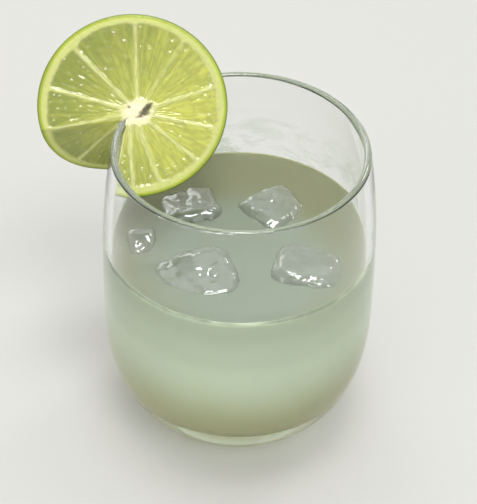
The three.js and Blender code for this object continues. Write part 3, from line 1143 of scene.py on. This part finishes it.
class GIMLET_OT_lime(Operator):
    """Makes the slit lime wheel that rides on the rim"""

    bl_idname = "gimlet.lime"
    bl_label = "Lime wheel"

    def execute(self, context):
        lime = context.scene.gimlet_lime
        points, looks, rows, last = make_lime_mesh(lime)
        faces, kinds = lime_faces(rows, last)
        used = sorted({c for face in faces for c in face})
        number = {c: n for n, c in enumerate(used)}
        faces = [[number[c] for c in face] for face in faces]
        piece = mesh_object("lime_wheel_cut", points[used], faces)
        mesh = piece.data
        for material in (flesh_material(lime), pith_material(lime), peel_material(lime)):
            mesh.materials.append(material)
        mesh.polygons.foreach_set("material_index", kinds)
        attribute = mesh.color_attributes.new("lime_look", "FLOAT_COLOR", "CORNER")
        corners = np.zeros(len(mesh.loops), int)
        mesh.loops.foreach_get("vertex_index", corners)
        attribute.data.foreach_set("color", looks[used][corners].ravel())
        heights = shoulder_heights()
        band = [(float(glass_outer(z)) + GAP, z) for z in heights] + rim_bead(GAP)
        band += [(float(glass_inner(z)) - GAP, z) for z in heights[::-1]]
        cutter = turned("wall_band", band, context.scene.gimlet_glass.segments, closed=True)
        cutter.data.materials.append(mesh.materials[1])
        cut(piece, [cutter])
        keep_largest(piece)
        settle(piece, "lime", "lime_wheel")
        return {"FINISHED"}


# The camera, by the photograph's view: 36 mm sensor along the long side of a 477 by 504 picture
CAMERA_ELEVATION = math.radians(41.4)
CAMERA_ROLL = math.radians(1.2)
CAMERA_DISTANCE = 0.617
CAMERA_AIM = Vector((0, 0, 0.050))
CAMERA_DROP = 0.008
PICTURE_HEIGHT = 504
FOCAL_PIXELS = 2000
SENSOR = 36


def make_camera():
    """The camera, which looks down at the glass from the front."""
    sine, cosine = math.sin(CAMERA_ELEVATION), math.cos(CAMERA_ELEVATION)
    ahead = Vector((0, cosine, -sine))
    right, up = Vector((1, 0, 0)), Vector((0, sine, cosine))
    turned_right = right * math.cos(CAMERA_ROLL) + up * math.sin(CAMERA_ROLL)
    turned_up = up * math.cos(CAMERA_ROLL) - right * math.sin(CAMERA_ROLL)
    data = bpy.data.cameras.new("camera")
    data.sensor_width = SENSOR
    data.lens = SENSOR * FOCAL_PIXELS / PICTURE_HEIGHT
    camera = bpy.data.objects.new("camera", data)
    axes = Matrix((turned_right, turned_up, -ahead)).transposed()
    place = CAMERA_AIM - ahead * CAMERA_DISTANCE + turned_up * CAMERA_DROP
    camera.matrix_world = Matrix.Translation(place) @ axes.to_4x4()
    bpy.context.scene.collection.objects.link(camera)
    bpy.context.scene.camera = camera


# The lamps: the name of each, its place, its size and its power
LAMPS = (
    ("key_softbox", (0.12, -0.40, 0.92), (0.36, 0.26), 3.0),
    ("ceiling_softbox", (0.06, 0.46, 0.94), (0.9, 0.7), 1.3),
    ("overhead_sparkle", (0.02, -0.02, 1.0), (0.26, 0.20), 2.3),
    ("left_softbox", (-0.65, -0.85, 0.5), (0.6, 0.6), 1.9),
    ("right_softbox", (0.65, -0.85, 0.45), (0.6, 0.6), 0.9),
    ("back_softbox", (-0.5, 0.9, 0.55), (0.6, 0.6), 2.2),
    ("back_sparkle", (0.5, 0.6, 0.62), (0.16, 0.12), 0.9),
)
LAMP_AIM = Vector((0, 0, 0.06))
SKY_COLOUR = (1.0, 0.99, 0.96)
SKY_STRENGTH = 0.78
FLOOR_COLOUR = (0.52, 0.52, 0.505)
FLOOR_REACH = 2.5
# How often light may bounce, which the clear glass needs
BOUNCES = 32
GLOSSY_BOUNCES = 12


def add_softbox(name, place, size, power):
    """A rectangular lamp that faces the drink."""
    data = bpy.data.lights.new(name, "AREA")
    data.shape = "RECTANGLE"
    data.size, data.size_y = size
    data.energy = power
    lamp = bpy.data.objects.new(name, data)
    lamp.location = place
    lamp.rotation_mode = "QUATERNION"
    lamp.rotation_quaternion = (LAMP_AIM - Vector(place)).to_track_quat("-Z", "Y")
    bpy.context.scene.collection.objects.link(lamp)


class GIMLET_OT_stage(Operator):
    """Makes the pale floor, the soft lamps and the camera"""

    bl_idname = "gimlet.stage"
    bl_label = "Stage"

    def execute(self, context):
        corners = [(x * FLOOR_REACH, y * FLOOR_REACH, 0) for x, y in ((-1, -1), (1, -1), (1, 1), (-1, 1))]
        floor = mesh_object("floor", corners, [[0, 1, 2, 3]])
        material, _, shader, _ = blank_material("pale_floor")
        fill(shader, Base_Color=rgba(FLOOR_COLOUR), Roughness=0.6)
        floor.data.materials.append(material)
        for lamp in LAMPS:
            add_softbox(*lamp)
        world = bpy.data.worlds.new("studio")
        world.use_nodes = True
        fill(world.node_tree.nodes["Background"], Color=rgba(SKY_COLOUR), Strength=SKY_STRENGTH)
        context.scene.world = world
        context.scene.view_settings.view_transform = "Standard"
        cycles = context.scene.cycles
        cycles.max_bounces = cycles.transmission_bounces = BOUNCES
        cycles.glossy_bounces = GLOSSY_BOUNCES
        make_camera()
        return {"FINISHED"}


class GIMLET_PT_panel(Panel):
    """Sizes, colours and steps of the drink"""

    bl_label = "Tequila gimlet"
    bl_idname = "GIMLET_PT_panel"
    bl_space_type = "VIEW_3D"
    bl_region_type = "UI"
    bl_category = "Gimlet"

    def draw(self, context):
        for settings in SETTINGS:
            group = getattr(context.scene, settings)
            box = self.layout.box()
            for name in group.bl_rna.properties.keys():
                if name not in ("rna_type", "name"):
                    box.prop(group, name)
        for step in STEPS:
            self.layout.operator(step.bl_idname)


SETTINGS = {
    "gimlet_glass": GimletGlass,
    "gimlet_drink": GimletDrink,
    "gimlet_ice": GimletIce,
    "gimlet_lime": GimletLime,
}
STEPS = (GIMLET_OT_glass, GIMLET_OT_drink, GIMLET_OT_ice, GIMLET_OT_lime, GIMLET_OT_stage)


def register():
    for name, group in SETTINGS.items():
        bpy.utils.register_class(group)
        setattr(bpy.types.Scene, name, PointerProperty(type=group))
    for step in STEPS:
        bpy.utils.register_class(step)
    bpy.utils.register_class(GIMLET_PT_panel)


def unregister():
    bpy.utils.unregister_class(GIMLET_PT_panel)
    for step in reversed(STEPS):
        bpy.utils.unregister_class(step)
    for name, group in SETTINGS.items():
        delattr(bpy.types.Scene, name)
        bpy.utils.unregister_class(group)


def main():
    register()
    bpy.ops.gimlet.glass()
    bpy.ops.gimlet.drink()
    bpy.ops.gimlet.ice()
    bpy.ops.gimlet.lime()
    bpy.ops.gimlet.stage()


if __name__ == "__main__":
    main()
